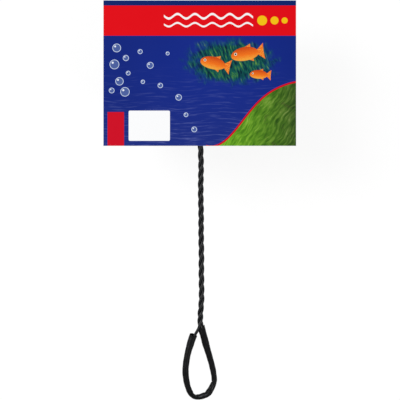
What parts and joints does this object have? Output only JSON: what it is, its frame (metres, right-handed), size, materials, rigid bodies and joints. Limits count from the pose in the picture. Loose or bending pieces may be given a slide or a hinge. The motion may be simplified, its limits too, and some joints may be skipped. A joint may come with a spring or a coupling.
{
  "type": "aquarium fish net",
  "caption": "Hand-held aquarium net with a twisted wire shaft, a sleeved grip loop, a rectangular hemmed netting bag and a folded retail card that lies over its mouth.",
  "frame": {"origin": "inner end of the grip loop, where a hook or a finger bears", "axes": "+Y along the shaft from the grip loop to the net, +X to the right seen from the side that the mouth faces, +Z out of the mouth, against the hang of the bag"},
  "size_m": [0.21, 0.4355, 0.1353],
  "materials": {
    "wire": "gloss",
    "sleeve": "gloss",
    "hem": "matte",
    "netting": "matte",
    "seam_thread": "matte",
    "card_print": "satin",
    "card_board": "matte",
    "staple_steel": "satin"
  },
  "bodies": {
    "net": {"frame_wire": "wire", "shaft_strand_left": "wire", "shaft_strand_right": "wire", "shaft_strand_return": "wire", "loop_wire": "wire", "grip_sleeve": "sleeve", "hem_tape_far": "hem", "hem_tape_left": "hem", "hem_tape_right": "hem", "hem_tape_near_left": "hem", "hem_tape_near_right": "hem", "hem_corners": "hem", "net_far_wall": "netting", "net_near_wall": "netting", "net_bottom": "netting", "net_left_gusset": "netting", "net_right_gusset": "netting", "seam_left": "seam_thread", "seam_right": "seam_thread", "card_back_flap": "card_board", "card_staples": "staple_steel"},
    "card": {"header_card": "card_print"}
  },
  "joints": [
    {"name": "card_fold", "type": "hinge", "parent": "net", "child": "card", "pos_m": [-0.0006, 0.4292, 0.00356], "axis": [-1, 0, 0], "range_deg": [0, 110]}
  ]
}
